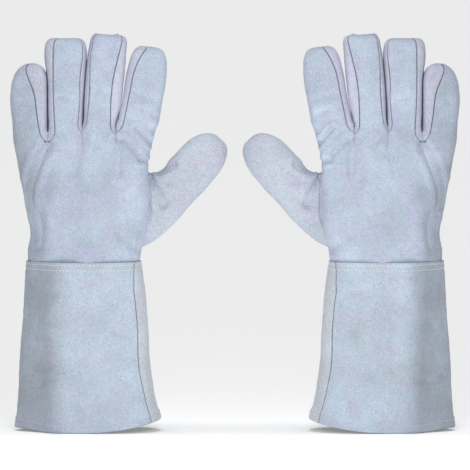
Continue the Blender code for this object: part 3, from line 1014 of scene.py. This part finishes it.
def cuff_panels(side):
    """The cuff's back and palm; returns the panels, for their stitches."""
    heights = grid(CUFF_TOP, (True, True), CUFF_STEP)
    ends = {
        "cuff_back": (lambda z: LITTLE_SEAM, cuff_seam),
        "cuff_palm": (lambda z: cuff_seam(z) - 360, lambda z: LITTLE_SEAM),
    }
    found = {}
    for name, (first, last) in ends.items():
        def row(shares, level):
            return cuff_row(first, last, shares, level)

        shares = grid(CUFF_HAND_WIDTH, (True, True), CUFF_STEP)
        panel = Panel(row, shares, heights, (True, True), (True, True), lift=cuff_relief,
                      open_ends=(False, False))
        material = MATERIALS["cuff" if name == "cuff_back" else "strip"]
        piece = panel.build(side, name, material)
        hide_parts(f"{side.word}_{name}")
        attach(piece, f"{side.word}_cuff")
        found[name] = panel
    return found


LINING_INSET = LEATHER + 1.2
CUFF_LINING_TOP = 149.0
HEM_TO_LINING = 4.0


def lining_ripples(points):
    """The lining's relief."""
    return 0.35 * ripples(points, 26.0, 31) + 0.12 * ripples(points, 9.0, 33)


def cuff_lining_row(shares, level):
    """level is 0 above the hem and 1 below the cuff's top edge."""
    return cuff_row(lambda z: -38.0, lambda z: 321.5, shares, level, HEM_TO_LINING,
                    CUFF_LINING_TOP, LINING_INSET + 1.0)


def hand_lining_row(shares, z):
    """The hand's lining, which closes below the fingers."""
    closing = max(0.0, 1 - max(0.0, (z - 236.0) / 18.0) ** 2.4) ** (1 / 2.4)
    points = tube_row(HAND, 2.0, 358.0, shares, z, LINING_INSET + 1.4)
    points[..., 1] *= 0.06 + 0.94 * closing
    return points


def lining_panels(side):
    """Cotton inside the cuff and the hand, closed round a slit in line with the thumb."""
    turn = np.linspace(0, 1, 110)
    rows = {
        "cuff_lining": (cuff_lining_row, np.linspace(0, 1, 44)),
        "hand_lining": (hand_lining_row, np.linspace(146.0, 253.0, 40)),
    }
    for name, (row, levels) in rows.items():
        panel = Panel(row, turn, levels, (False, False), lift=lining_ripples, thickness=LINING,
                      open_ends=(False, False))
        piece = panel.build(side, name, MATERIALS["cotton"])
        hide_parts(f"{side.word}_{name}")
        if name == "cuff_lining":
            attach(piece, f"{side.word}_cuff")
        else:
            blend_on(side, piece, ("cuff", "hand"), *WRIST_BEND)


def stitches(side, name, rows, pitch, length, thick, material):
    """Short rounded stitches along the given lines of (points, normals), a pitch apart."""
    ring = np.radians(np.arange(0, 360, 60))
    profile = [(-0.5, 0.25), (-0.38, 0.85), (0.0, 1.0), (0.38, 0.85), (0.5, 0.25)]
    points, faces, corners = [], [], []
    for line, normals in rows:
        run = np.concatenate([[0.0], np.cumsum(np.linalg.norm(np.diff(line, axis=0), axis=-1))])
        for at in np.arange(pitch / 2, run[-1] - pitch / 2, pitch):
            centre = np.array([np.interp(at, run, line[:, k]) for k in range(3)])
            ahead = np.array([np.interp(at + 0.5, run, line[:, k]) for k in range(3)]) - centre
            ahead /= np.linalg.norm(ahead)
            up = np.array([np.interp(at, run, normals[:, k]) for k in range(3)])
            up -= ahead * (up @ ahead)
            up /= np.linalg.norm(up)
            over = np.cross(ahead, up)
            first = len(points)
            for t, width in profile:
                sink = 0.35 * thick * (2 * t) ** 2
                middle = centre + ahead * t * length + up * (0.12 * thick - sink)
                for angle in ring:
                    around = over * math.cos(angle) + up * 0.75 * math.sin(angle)
                    points.append(middle + around * 0.5 * thick * width)
            count = len(ring)
            for k in range(len(profile) - 1):
                for j in range(count):
                    i = first + k * count
                    faces.append([i + j, i + (j + 1) % count, i + count + (j + 1) % count, i + count + j])
            last = first + (len(profile) - 1) * count
            caps = [(first, (0, 5, 4, 3)), (first, (3, 2, 1, 0)), (last, (0, 1, 2, 3)), (last, (3, 4, 5, 0))]
            for base, order in caps:
                faces.append([base + k for k in order])
    points = side.world(np.array(points))
    faces = np.array(faces)
    if side.mirror > 0:
        faces = faces[:, ::-1]
    flat = face_normals(points, faces, 1e-15)
    total = np.zeros_like(points)
    for k in range(4):
        np.add.at(total, faces[:, k], flat)
    return make_mesh(f"{side.word}_{name}", points, faces, unit(total, 1e-12)[faces], material)


def line_on(panel, height):
    """A panel's line of points and normals, at a height near its top or above its hem's edge."""
    z = panel.outer[..., 2]
    points, normals = [], []
    for column in range(z.shape[1]):
        climb = z[:, column]
        wanted = height if height > CUFF_TOP / 2 else climb[0] + height
        points.append([np.interp(wanted, climb, panel.outer[:, column, k]) for k in range(3)])
        normals.append([np.interp(wanted, climb, panel.normals[:, column, k]) for k in range(3)])
    return np.array(points)[3:-3], np.array(normals)[3:-3]


def cuff_stitches(side, panels):
    """Two rows of white stitches below the cuff's top edge, and a grey row along the hem."""
    rows = [
        (f"wrist_stitches_{number}", CUFF_TOP - row, 3.3, 2.5, 0.85, "thread")
        for number, row in enumerate(WRIST_ROWS, 1)
    ]
    rows.append(("hem_stitches", HEM_ROW, 3.4, 2.6, 0.75, "grey_thread"))
    for name, height, pitch, length, thick, material in rows:
        lines = [line_on(panel, height) for panel in panels.values()]
        piece = stitches(side, name, lines, pitch, length, thick, MATERIALS[material])
        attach(piece, f"{side.word}_cuff")


def build_glove(side):
    """All the pieces of one glove."""
    panels = cuff_panels(side)
    cuff_stitches(side, panels)
    hand_panels(side)
    for finger in FINGERS.values():
        finger_panels(side, finger)
    thumb_panels(side)
    lining_panels(side)


# ----------------------------------------
# The studio


FLOOR_HALF = 30.0  # metres
KEY_PLACE = (0.0, -0.62, 0.30)
KEY_TARGET = Vector((0.0, 0.0, 0.18))
KEY_SIZE = 0.22
CAMERA_RISE = 4.0  # degrees above the horizon
CAMERA_DISTANCE = 4.2
CAMERA_TARGET = Vector((0.0, 0.0, 0.1755))
VIEW_WIDTH = 0.4205  # what the frame's width takes in, at the gloves


def stand(name, data, place, target):
    """An object at a place, looking at a target."""
    obj = bpy.data.objects.new(name, data)
    obj.location = place
    obj.rotation_euler = (target - Vector(place)).to_track_quat("-Z", "Y").to_euler()
    bpy.context.scene.collection.objects.link(obj)
    return obj


def floor_paint():
    """Matt white that gives off a little light, so that the floor stays pale."""
    material = bpy.data.materials.new("floor_paint")
    material.use_nodes = True
    white = (0.94, 0.94, 0.94, 1.0)
    set_inputs(material.node_tree.nodes["Principled BSDF"], {
        "Base Color": white, "Emission Color": white, "Emission Strength": 0.2,
        "Roughness": 0.9, "Specular IOR Level": 0.1})
    return material


def studio():
    """A wide pale floor, which fills the view."""
    corners = [(-1, -1), (1, -1), (1, 1), (-1, 1)]
    mesh = bpy.data.meshes.new("floor")
    mesh.from_pydata([(FLOOR_HALF * x, FLOOR_HALF * y, 0.0) for x, y in corners], [], [(0, 1, 2, 3)])
    mesh.materials.append(floor_paint())
    floor = bpy.data.objects.new("floor", mesh)
    bpy.context.scene.collection.objects.link(floor)


def lights():
    """A small square light in front, a wide soft sun overhead, and a dim sky."""
    key = bpy.data.lights.new("key", "AREA")
    key.shape = "RECTANGLE"
    key.size = key.size_y = KEY_SIZE
    key.energy = 2.0
    stand("key", key, KEY_PLACE, KEY_TARGET).visible_camera = False
    overhead = bpy.data.lights.new("overhead", "SUN")
    overhead.energy = 1.75
    overhead.angle = math.radians(25)
    bpy.context.scene.collection.objects.link(bpy.data.objects.new("overhead", overhead))
    world = bpy.data.worlds.new("studio")
    world.use_nodes = True
    background = world.node_tree.nodes["Background"]
    set_inputs(background, {"Color": (0.97, 0.98, 1.0, 1.0), "Strength": 0.15})
    bpy.context.scene.world = world


def camera():
    """A long lens, a little above the middle of the gloves."""
    data = bpy.data.cameras.new("camera")
    data.sensor_width = 36.0
    data.lens = CAMERA_DISTANCE / VIEW_WIDTH * data.sensor_width
    data.clip_end = 50
    rise = math.radians(CAMERA_RISE)
    place = CAMERA_TARGET + CAMERA_DISTANCE * Vector((0.0, -math.cos(rise), math.sin(rise)))
    bpy.context.scene.camera = stand("camera", data, place, CAMERA_TARGET)


camera()
studio()
lights()
for word in ("left", "right"):
    build_glove(Side(word))
bpy.context.scene.view_settings.view_transform = "Standard"
